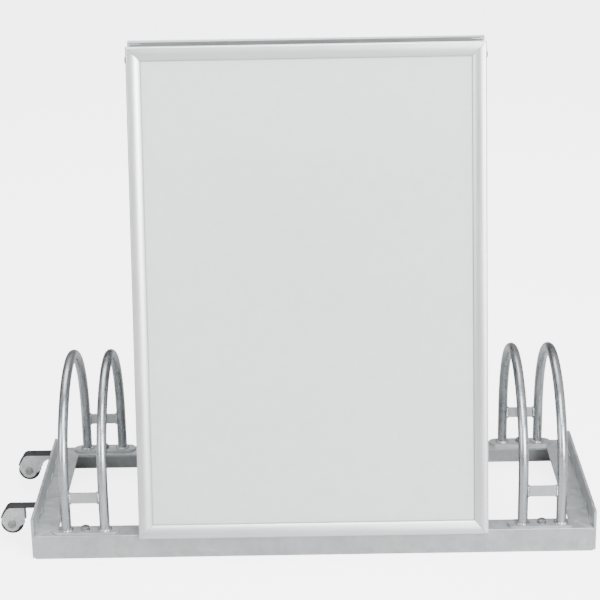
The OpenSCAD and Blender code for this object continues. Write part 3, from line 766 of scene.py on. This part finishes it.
class BOARDRACK_OT_rails(bpy.types.Operator):
    """Welded angle rails and end plates with rolled edges and mitre welds"""

    bl_idname = "boardrack.rails"
    bl_label = "Rails and end plates"

    def execute(self, context):
        make_finishes(context.scene)
        rack = context.scene.rack_settings
        for node in ("front_rail", "rear_rail", "left_end_rail", "right_end_rail",
                     "left_end_plate", "right_end_plate"):
            bm = merged_copy(node)
            round_edges(bm, rack.edge_round)
            finish(bm, node + "_steel", RACK, "galvanised_steel", replaces=[node])
        bm = bmesh.new()
        flange = size_of("front_rail").y
        for sx in SIDES.values():
            corner_x = FRONT_RAIL[0].x if sx < 0 else FRONT_RAIL[1].x
            for sy in ENDS.values():
                corner_y = FRONT_RAIL[0].y if sy < 0 else REAR_RAIL[1].y
                inward = Vector((-sx, -sy, 0))
                start = Vector((corner_x, corner_y, RAIL_TOP - 0.6 * MM))
                bead(bm, [start + inward * 3 * MM, start + inward * (flange - 3 * MM)],
                     1.7 * MM, ripple=0.10, flat=0.7, up=Vector((0, 0, 1)))
        finish(bm, "mitre_welds", RACK, "galvanised_steel")
        return {"FINISHED"}


class BOARDRACK_OT_end_welds(bpy.types.Operator):
    """Fillet welds between the end plates and the end rails"""

    bl_idname = "boardrack.end_welds"
    bl_label = "End plate welds"

    def execute(self, context):
        rack = context.scene.rack_settings
        for name, sx in SIDES.items():
            low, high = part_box(name + "_end_plate")
            inner_x = high.x if sx < 0 else low.x
            bm = bmesh.new()
            count = 5
            span = (high.y - low.y) / count
            for i in range(count):
                y = low.y + span * (i + 0.5)
                half = 0.22 * span
                at = Vector((inner_x - sx * 0.6 * MM, y, RAIL_TOP + 0.4 * MM))
                bead(bm, [at + Vector((0, -half, 0)), at + Vector((0, half, 0))],
                     rack.weld_size * 0.6)
            for y, sy in ((low.y, -1), (high.y, 1)):
                if sy > 0 and abs(y - REAR_RAIL[1].y) > 5 * MM:
                    continue
                at = Vector((inner_x, y + 0.9 * MM, 0))
                bead(bm, [at + Vector((0, 0, 4 * MM)), at + Vector((0, 0, RAIL_TOP - 2 * MM))],
                     1.3 * MM, ripple=0.06)
            finish(bm, name + "_end_plate_welds", RACK, "galvanised_steel")
        return {"FINISHED"}


def make_hoop(bm, centre_x):
    """One bent tube from foot to foot, capped at both feet."""
    made = bmesh.ops.create_circle(bm, cap_ends=False, segments=40, radius=TUBE_R,
                                   matrix=Matrix.Translation((centre_x, -LEG_Y, FOOT_TOP)))
    first = list({e for v in made["verts"] for e in v.link_edges})
    edges = first
    legs = 6
    rise = (ARCH_Z - FOOT_TOP) / legs
    for _ in range(legs):
        made = bmesh.ops.extrude_edge_only(bm, edges=edges)["geom"]
        verts = [g for g in made if isinstance(g, bmesh.types.BMVert)]
        edges = [g for g in made if isinstance(g, bmesh.types.BMEdge)]
        bmesh.ops.translate(bm, verts=verts, vec=(0, 0, rise))
    made = bmesh.ops.spin(bm, geom=verts + edges, cent=(centre_x, 0, ARCH_Z), axis=(1, 0, 0),
                          angle=-math.pi, steps=72, use_merge=False)["geom_last"]
    verts = [g for g in made if isinstance(g, bmesh.types.BMVert)]
    edges = [g for g in made if isinstance(g, bmesh.types.BMEdge)]
    for _ in range(legs):
        made = bmesh.ops.extrude_edge_only(bm, edges=edges)["geom"]
        verts = [g for g in made if isinstance(g, bmesh.types.BMVert)]
        edges = [g for g in made if isinstance(g, bmesh.types.BMEdge)]
        bmesh.ops.translate(bm, verts=verts, vec=(0, 0, -rise))
    for rim in (first, edges):
        bmesh.ops.holes_fill(bm, edges=rim, sides=0)


def map_along_hoop(bm, centre_x, shift):
    """Writes turn round the tube and distance along it into a UV map, in metres."""
    layer = bm.loops.layers.uv.new("along_tube")
    for face in bm.faces:
        middle = face.calc_center_median()
        turn_mid = hoop_place(middle, centre_x)[0]
        for loop in face.loops:
            turn, along = hoop_place(loop.vert.co, centre_x)
            if turn - turn_mid > math.pi:
                turn -= 2 * math.pi
            if turn_mid - turn > math.pi:
                turn += 2 * math.pi
            loop[layer].uv = (turn * TUBE_R + shift, along + 3 * shift)


def hoop_place(point, centre_x):
    """(turn round the tube, distance along the hoop) of a point on its surface."""
    across = point.x - centre_x
    if point.z < ARCH_Z:
        side = -1 if point.y < 0 else 1
        out = side * point.y - LEG_Y
        along = (point.z - ARCH_Z) if side < 0 else math.pi * LEG_Y + (ARCH_Z - point.z)
    else:
        out = math.hypot(point.y, point.z - ARCH_Z) - LEG_Y
        along = (math.pi - math.atan2(point.z - ARCH_Z, point.y)) * LEG_Y
    return math.atan2(across, out), along


class BOARDRACK_OT_hoops(bpy.types.Operator):
    """Four bent tube hoops with weld beads at their feet"""

    bl_idname = "boardrack.hoops"
    bl_label = "Wheel hoops"

    def execute(self, context):
        weld = context.scene.rack_settings.weld_size
        for i, name in enumerate(("left_outer_hoop", "left_inner_hoop",
                                  "right_inner_hoop", "right_outer_hoop")):
            centre_x = middle_of(name).x
            bm = bmesh.new()
            make_hoop(bm, centre_x)
            bmesh.ops.recalc_face_normals(bm, faces=bm.faces)
            map_along_hoop(bm, centre_x, 0.37 * (i + 1))
            finish(bm, name + "_tube", RACK, "galvanised_tube", replaces=[name], recalc=False)
            bm = bmesh.new()
            for sy in ENDS.values():
                foot = Vector((centre_x, sy * LEG_Y, FOOT_TOP + 0.6 * MM))
                ring_bead(bm, foot, TUBE_R + 0.5 * MM, weld, 0.85, seed=1.7 * i + sy)
            finish(bm, name + "_foot_welds", RACK, "weld")
        return {"FINISHED"}


class BOARDRACK_OT_feet(bpy.types.Operator):
    """Foot plates, tie bars between the hoops and the welds at their ends"""

    bl_idname = "boardrack.feet"
    bl_label = "Foot plates and tie bars"

    def execute(self, context):
        rack = context.scene.rack_settings
        for name in SIDES:
            for end in ENDS:
                node = f"{name}_{end}_foot_plate"
                bm = merged_copy(node)
                round_edges(bm, 1.1 * MM)
                finish(bm, node + "_steel", RACK, "galvanised_steel", replaces=[node])
            node = name + "_tie_bars"
            bm = merged_copy(node)
            round_edges(bm, 0.7 * MM)
            finish(bm, node + "_steel", RACK, "galvanised_steel", replaces=[node])
            bm = bmesh.new()
            for x in (middle_of(f"{name}_{hoop}_hoop").x for hoop in ("outer", "inner")):
                toward = 1 if x < middle_of(node).x else -1
                seam_x = x + toward * math.sqrt(TUBE_R ** 2 - (TIE_T / 2) ** 2)
                for y in (-LEG_Y, LEG_Y):
                    for face in (-1, 1):
                        at = Vector((seam_x + toward * 0.2 * MM, y + face * (TIE_T / 2 + 0.1 * MM), TIE_Z))
                        reach = Vector((0, 0, TIE_HEIGHT / 2 - 0.5 * MM))
                        bead(bm, [at - reach, at + reach], rack.weld_size * 0.72)
                    for up in (-1, 1):
                        at = Vector((seam_x + toward * 0.8 * MM, y, TIE_Z + up * (TIE_HEIGHT / 2)))
                        across = Vector((0, TIE_T / 2 + 0.6 * MM, 0))
                        bead(bm, [at - across, at + across], rack.weld_size * 0.75)
            finish(bm, name + "_tie_bar_welds", RACK, "weld")
        return {"FINISHED"}


# ---------------------------------------------------------------- fasteners

def facing(at, direction):
    """A matrix at a place whose Z points in a direction."""
    turn = Vector(direction).to_track_quat("Z", "Y").to_matrix().to_4x4()
    return Matrix.Translation(at) @ turn


M8 = {"shank_r": 4 * MM, "flats": 13 * MM}
M6 = {"shank_r": 3 * MM, "flats": 10 * MM}
M8_HEAD, M6_HEAD = 5.2 * MM, 3.9 * MM
M8_NUT, M6_NUT = 6.5 * MM, 5 * MM
PAST_NUT = 2 * MM


def m8_bolt(bm, matrix, reach):
    hex_bolt(bm, matrix, head=M8_HEAD, reach=reach, pitch=1.25 * MM, **M8)


def m6_bolt(bm, matrix, reach):
    hex_bolt(bm, matrix, head=M6_HEAD, reach=reach, pitch=1.0 * MM, **M6)


class BOARDRACK_OT_foot_bolts(bpy.types.Operator):
    """Bolts and washers that hold the foot plates to the rails"""

    bl_idname = "boardrack.foot_bolts"
    bl_label = "Foot bolts"

    def execute(self, context):
        make_finishes(context.scene)
        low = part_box("foot_bolts")[0].z
        washer = size_of("foot_washers").z
        bolts, washers = bmesh.new(), bmesh.new()
        for name in SIDES:
            for end in ENDS:
                at = middle_of(f"{name}_{end}_foot_plate")
                turn = Matrix.Rotation(math.radians(7 if end == "front" else 23), 4, "Z")
                seat = Matrix.Translation((at.x, at.y, FOOT_TOP + washer)) @ turn
                m8_bolt(bolts, seat, FOOT_TOP + washer - low)
                base = Matrix.Translation((at.x, at.y, FOOT_TOP))
                r_in, r_out, lip = 4.2 * MM, 8 * MM, 0.25 * MM
                lathe(washers, [(r_in, 0), (r_out - lip, 0), (r_out, lip), (r_out, washer - lip),
                                (r_out - lip, washer), (r_in + lip, washer), (r_in, washer - lip)],
                      base, 56, closed=True)
        finish(bolts, "hex_foot_bolts", RACK, "zinc_fasteners", replaces=["foot_bolts"])
        finish(washers, "flat_foot_washers", RACK, "zinc_fasteners", replaces=["foot_washers"])
        return {"FINISHED"}


class BOARDRACK_OT_nuts(bpy.types.Operator):
    """All the nuts: under the feet, on the rollers, on the brackets and at the pivots"""

    bl_idname = "boardrack.nuts"
    bl_label = "Nuts"

    def execute(self, context):
        bm = bmesh.new()
        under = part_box("foot_bolts")[0].z + 3 * MM
        for name in SIDES:
            for end in ENDS:
                at = middle_of(f"{name}_{end}_foot_plate")
                hex_nut(bm, Matrix.Translation((at.x, at.y, under)), height=M8_NUT, **M8)
        for end in ENDS:
            back = middle_of(f"{end}_roller_fork").y + FORK_WIDTH / 2
            hex_nut(bm, facing((ROLLER.x, back, ROLLER.z), (0, 1, 0)), height=M8_NUT, **M8)
        finish(bm, "large_hex_nuts", RACK, "zinc_fasteners", replaces=["m8_nuts"])
        bm = bmesh.new()
        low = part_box("rail_bracket_bolts")[0].z
        for x, y in bracket_bolt_places():
            hex_nut(bm, Matrix.Translation((x, y, low + PAST_NUT)), height=M6_NUT, **M6)
        for sx in SIDES.values():
            inner = pivot_place(sx)[1]
            hex_nut(bm, facing(inner + Vector((sx * PAST_NUT, 0, 0)), (sx, 0, 0)), height=M6_NUT, **M6)
        finish(bm, "small_hex_nuts", RACK, "zinc_fasteners", replaces=["m6_nuts"])
        return {"FINISHED"}


def bracket_bolt_places():
    """(x, y) of the four bolts that hold the rail brackets down."""
    low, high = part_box("rail_bracket_bolts")
    corner = M6["flats"] / math.sqrt(3)
    flat = M6["flats"] / 2
    return [(x, y) for x in (low.x + corner, high.x - corner) for y in (low.y + flat, high.y - flat)]


PIVOT_WASHER = 1.2 * MM


def pivot_place(sx):
    """(face under the head, tip) of a pivot bolt."""
    low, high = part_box("pivot_bolts")
    y, z = (low.y + high.y) / 2, (low.z + high.z) / 2
    ears, play = 2 * 2 * MM, 2 * 0.3 * MM
    length = PIVOT_WASHER + M6_HEAD
    outer_x = low.x + length if sx < 0 else high.x - length
    reach = ears + play + M6_NUT + PAST_NUT + PIVOT_WASHER
    return Vector((outer_x, y, z)), Vector((outer_x - sx * reach, y, z))


class BOARDRACK_OT_pivots(bpy.types.Operator):
    """Black pivot bolts with washers at the top corners of the boards"""

    bl_idname = "boardrack.pivots"
    bl_label = "Pivot bolts"

    def execute(self, context):
        bm = bmesh.new()
        for sx in SIDES.values():
            at, inner = pivot_place(sx)
            m6_bolt(bm, facing(at, (sx, 0, 0)), (at - inner).length)
            r_in, r_out, lip = 3.1 * MM, 6 * MM, 0.2 * MM
            lathe(bm, [(r_in, -PIVOT_WASHER), (r_out - lip, -PIVOT_WASHER), (r_out, -PIVOT_WASHER + lip),
                       (r_out, -lip), (r_out - lip, 0), (r_in, 0)],
                  facing(at, (sx, 0, 0)), 48, closed=True)
        finish(bm, "black_pivot_bolts", RACK, "black_fasteners", replaces=["pivot_bolts"])
        return {"FINISHED"}


class BOARDRACK_OT_brackets(bpy.types.Operator):
    """Angle brackets that carry the boards on the rails, with their bolts"""

    bl_idname = "boardrack.brackets"
    bl_label = "Rail brackets"

    def execute(self, context):
        bm = merged_copy("rail_brackets")
        round_edges(bm, 0.5 * MM, angle=45)
        finish(bm, "rail_bracket_angles", RACK, "galvanised_steel", replaces=["rail_brackets"])
        bm = bmesh.new()
        low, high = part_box("rail_bracket_bolts")
        seat = high.z - 4 * MM
        for i, (x, y) in enumerate(bracket_bolt_places()):
            turn = Matrix.Rotation(math.radians(13 * i), 4, "Z")
            m6_bolt(bm, Matrix.Translation((x, y, seat)) @ turn, seat - low.z)
        finish(bm, "hex_bracket_bolts", RACK, "zinc_fasteners", replaces=["rail_bracket_bolts"])
        return {"FINISHED"}


# ---------------------------------------------------------------- rollers

def make_tyre(bm, axle, groove):
    """A tyre with round shoulders and three grooves in its tread."""
    half, shoulder, chamfer = TYRE_WIDTH / 2, 3 * MM, 0.5 * MM
    arc = [(ROLLER_R - shoulder + shoulder * math.cos(a), half - shoulder + shoulder * math.sin(a))
           for a in (math.radians(d) for d in range(90, -1, -15))]
    flat = half - shoulder
    tread = []
    for z in (0.6 * flat, 0, -0.6 * flat):
        tread += [(ROLLER_R, z + 0.5 * MM), (ROLLER_R - groove, z + 0.3 * MM),
                  (ROLLER_R - groove, z - 0.3 * MM), (ROLLER_R, z - 0.5 * MM)]
    outer = arc + tread + [(r, -z) for r, z in reversed(arc)]
    lathe(bm, outer + [(HUB_R + 0.6 * MM, -half), (HUB_R, -half + chamfer),
                       (HUB_R, half - chamfer), (HUB_R + 0.6 * MM, half)],
          axle, 96, closed=True)


def make_hub(bm, axle):
    """A hub with a boss, a thin web and eight ribs on each face."""
    web, boss, bore, lip = HUB_WIDTH / 4, 9 * MM, 5.1 * MM, 0.5 * MM
    rim, rim_r = TYRE_WIDTH / 2, HUB_R - 3 * MM
    side = [(bore, HUB_WIDTH / 2), (boss - lip, HUB_WIDTH / 2), (boss, HUB_WIDTH / 2 - lip),
            (boss + 0.2 * MM, web), (rim_r - 0.2 * MM, web), (rim_r, rim - lip),
            (rim_r + lip, rim), (HUB_R, rim)]
    lathe(bm, side + [(r, -z) for r, z in reversed(side)], axle, 96, closed=True)
    ribs = 8
    rib_height = rim - web - 0.8 * MM
    size = Matrix.Diagonal((rim_r - boss + 1 * MM, 1.4 * MM, rib_height, 1))
    for i in range(ribs):
        turn = Matrix.Rotation(2 * math.pi * i / ribs, 4, "Z")
        for face in (-1, 1):
            at = Matrix.Translation(((boss + rim_r) / 2, 0, face * (web + rib_height / 2)))
            bmesh.ops.create_cube(bm, size=1, matrix=axle @ turn @ at @ size)


class BOARDRACK_OT_rollers(bpy.types.Operator):
    """Guard strips, forks, ribbed hubs, grooved tyres and axle bolts"""

    bl_idname = "boardrack.rollers"
    bl_label = "Transport rollers"

    def execute(self, context):
        make_finishes(context.scene)
        groove = context.scene.roller_settings.groove_depth
        bolts = bmesh.new()
        for end in ENDS:
            for node, finish_name, width in ((f"{end}_roller_bracket", "black_steel", 0.35 * MM),
                                             (f"{end}_roller_fork", "zinc_plate", 0.45 * MM)):
                bm = merged_copy(node)
                round_edges(bm, width, angle=40)
                finish(bm, node + "_pressing", RACK, finish_name, replaces=[node], crease=30)
            y = middle_of(f"{end}_roller_fork").y
            axle = facing((ROLLER.x, y, ROLLER.z), (0, -1, 0))
            bm = bmesh.new()
            make_tyre(bm, axle, groove)
            finish(bm, f"{end}_grooved_tyre", f"{end}_roller", "black_rubber",
                   replaces=[f"{end}_roller_tyre"])
            bm = bmesh.new()
            make_hub(bm, axle)
            finish(bm, f"{end}_ribbed_hub", f"{end}_roller", "grey_nylon",
                   replaces=[f"{end}_roller_hub"])
            seat = facing((ROLLER.x, y - FORK_WIDTH / 2, ROLLER.z), (0, -1, 0))
            m8_bolt(bolts, seat @ Matrix.Rotation(math.radians(11), 4, "Z"),
                    FORK_WIDTH + M8_NUT + PAST_NUT)
        finish(bolts, "hex_axle_bolts", RACK, "zinc_fasteners", replaces=["roller_axle_bolts"])
        bm = bmesh.new()
        plate_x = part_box("left_end_plate")[0].x
        for end in ENDS:
            low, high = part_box(f"{end}_roller_bracket")
            for drop, size in ((0.2 * MM, 1.5 * MM), (2.4 * MM, 1.7 * MM)):
                at = Vector((plate_x - 0.6 * MM, 0, high.z - drop))
                bead(bm, [at + Vector((0, low.y + 2 * MM, 0)), at + Vector((0, high.y - 2 * MM, 0))],
                     size, ripple=0.12)
        finish(bm, "guard_strip_welds", RACK, "black_steel")
        dress("zinc_fasteners", "roller_axle_sleeves")
        return {"FINISHED"}


# ---------------------------------------------------------------- boards

class BOARDRACK_OT_boards(bpy.types.Operator):
    """Finishes of the snap frames, panels, posters and clear sheets"""

    bl_idname = "boardrack.boards"
    bl_label = "Snap frame boards"

    def execute(self, context):
        make_finishes(context.scene)
        for end in ENDS:
            dress("profile_across", f"{end}_top_cover", f"{end}_bottom_cover")
            dress("profile_up", f"{end}_left_cover", f"{end}_right_cover", f"{end}_base_frame")
            dress("panel_steel", f"{end}_back_panel")
            dress("poster_paper", f"{end}_poster")
            dress("clear_sheet", f"{end}_cover_sheet")
            dress("zinc_plate", f"{end}_corner_keys", f"{end}_snap_springs")
            dress("galvanised_steel", f"{end}_hinge_ears")
            dress("zinc_fasteners", f"{end}_ear_rivets")
        dress("zinc_fasteners", "board_screws")
        return {"FINISHED"}


# ---------------------------------------------------------------- stage

CAMERA_PLACE = Vector((0.0331, -3.1970, 1.5556))
CAMERA_TILT = math.radians(19.611)
CAMERA_TURN = math.radians(0.325)
CAMERA_ROLL = math.radians(1.041)

# Each soft light's name, place, width and share of the key light's power
LIGHTS = (("key_light", (2.1, -3.5, 1.7), 1.8, 1), ("fill_light", (-2.7, -2.3, 1.7), 1.8, 0.22),
          ("front_top_light", (0.5, -1.9, 3.7), 2.2, 0.60), ("top_light", (-0.3, 1.2, 3.4), 2.4, 0.30))
LIT_PLACE = Vector((0.03, 0, 0.4))


class BOARDRACK_OT_stage(bpy.types.Operator):
    """Pale floor, soft light and the camera"""

    bl_idname = "boardrack.stage"
    bl_label = "Stage"

    def execute(self, context):
        settings = context.scene.stage_settings
        bm = bmesh.new()
        bmesh.ops.create_grid(bm, x_segments=8, y_segments=8, size=12)
        mesh = bpy.data.meshes.new("floor")
        bm.to_mesh(mesh)
        bm.free()
        floor = bpy.data.objects.new("floor", mesh)
        mesh.materials.append(matt_floor(settings))
        context.scene.collection.objects.link(floor)
        context.scene.world = soft_surround(settings)
        for name, place, size, share in LIGHTS:
            lamp = bpy.data.lights.new(name, "AREA")
            lamp.shape = "SQUARE"
            lamp.size = size
            lamp.energy = share * settings.key_power
            holder = bpy.data.objects.new(name, lamp)
            holder.location = place
            aim = LIT_PLACE - Vector(place)
            holder.rotation_euler = aim.to_track_quat("-Z", "Y").to_euler()
            context.scene.collection.objects.link(holder)
        camera = bpy.data.objects.new("camera", bpy.data.cameras.new("camera"))
        camera.data.sensor_width = 36
        camera.data.lens = settings.lens
        camera.data.clip_end = 60
        context.scene.collection.objects.link(camera)
        context.scene.camera = camera
        right = Vector((math.cos(CAMERA_TURN), math.sin(CAMERA_TURN), 0))
        ahead = Vector((-math.sin(CAMERA_TURN) * math.cos(CAMERA_TILT),
                        math.cos(CAMERA_TURN) * math.cos(CAMERA_TILT), -math.sin(CAMERA_TILT)))
        down = ahead.cross(right)
        side = right * math.cos(CAMERA_ROLL) + down * math.sin(CAMERA_ROLL)
        foot = down * math.cos(CAMERA_ROLL) - right * math.sin(CAMERA_ROLL)
        axes = Matrix((side, -foot, -ahead)).transposed().to_4x4()
        camera.matrix_world = Matrix.Translation(CAMERA_PLACE) @ axes
        return {"FINISHED"}


# ---------------------------------------------------------------- panel and run

OPERATORS = (BOARDRACK_OT_rails, BOARDRACK_OT_end_welds, BOARDRACK_OT_hoops, BOARDRACK_OT_feet,
             BOARDRACK_OT_foot_bolts, BOARDRACK_OT_nuts, BOARDRACK_OT_pivots,
             BOARDRACK_OT_brackets, BOARDRACK_OT_rollers, BOARDRACK_OT_boards,
             BOARDRACK_OT_stage)
SETTINGS = {"rack_settings": RackSettings, "board_settings": BoardSettings,
            "roller_settings": RollerSettings, "stage_settings": StageSettings}


class BOARDRACK_PT_panel(bpy.types.Panel):
    """Sizes, colours and building steps of the board rack"""

    bl_label = "Board rack"
    bl_idname = "BOARDRACK_PT_panel"
    bl_space_type = "VIEW_3D"
    bl_region_type = "UI"
    bl_category = "Board rack"

    def draw(self, context):
        for name, group in SETTINGS.items():
            box = self.layout.box()
            box.label(text=group.__doc__)
            for key in group.__annotations__:
                box.prop(getattr(context.scene, name), key)
        column = self.layout.column()
        for operator in OPERATORS:
            column.operator(operator.bl_idname)


def register():
    for kind in (*SETTINGS.values(), *OPERATORS, BOARDRACK_PT_panel):
        bpy.utils.register_class(kind)
    for name, group in SETTINGS.items():
        setattr(bpy.types.Scene, name, bpy.props.PointerProperty(type=group))


def unregister():
    for name in SETTINGS:
        delattr(bpy.types.Scene, name)
    for kind in (BOARDRACK_PT_panel, *OPERATORS, *SETTINGS.values()):
        bpy.utils.unregister_class(kind)


def main():
    register()
    for operator in OPERATORS:
        group, name = operator.bl_idname.split(".")
        getattr(getattr(bpy.ops, group), name)()


if __name__ == "__main__":
    main()
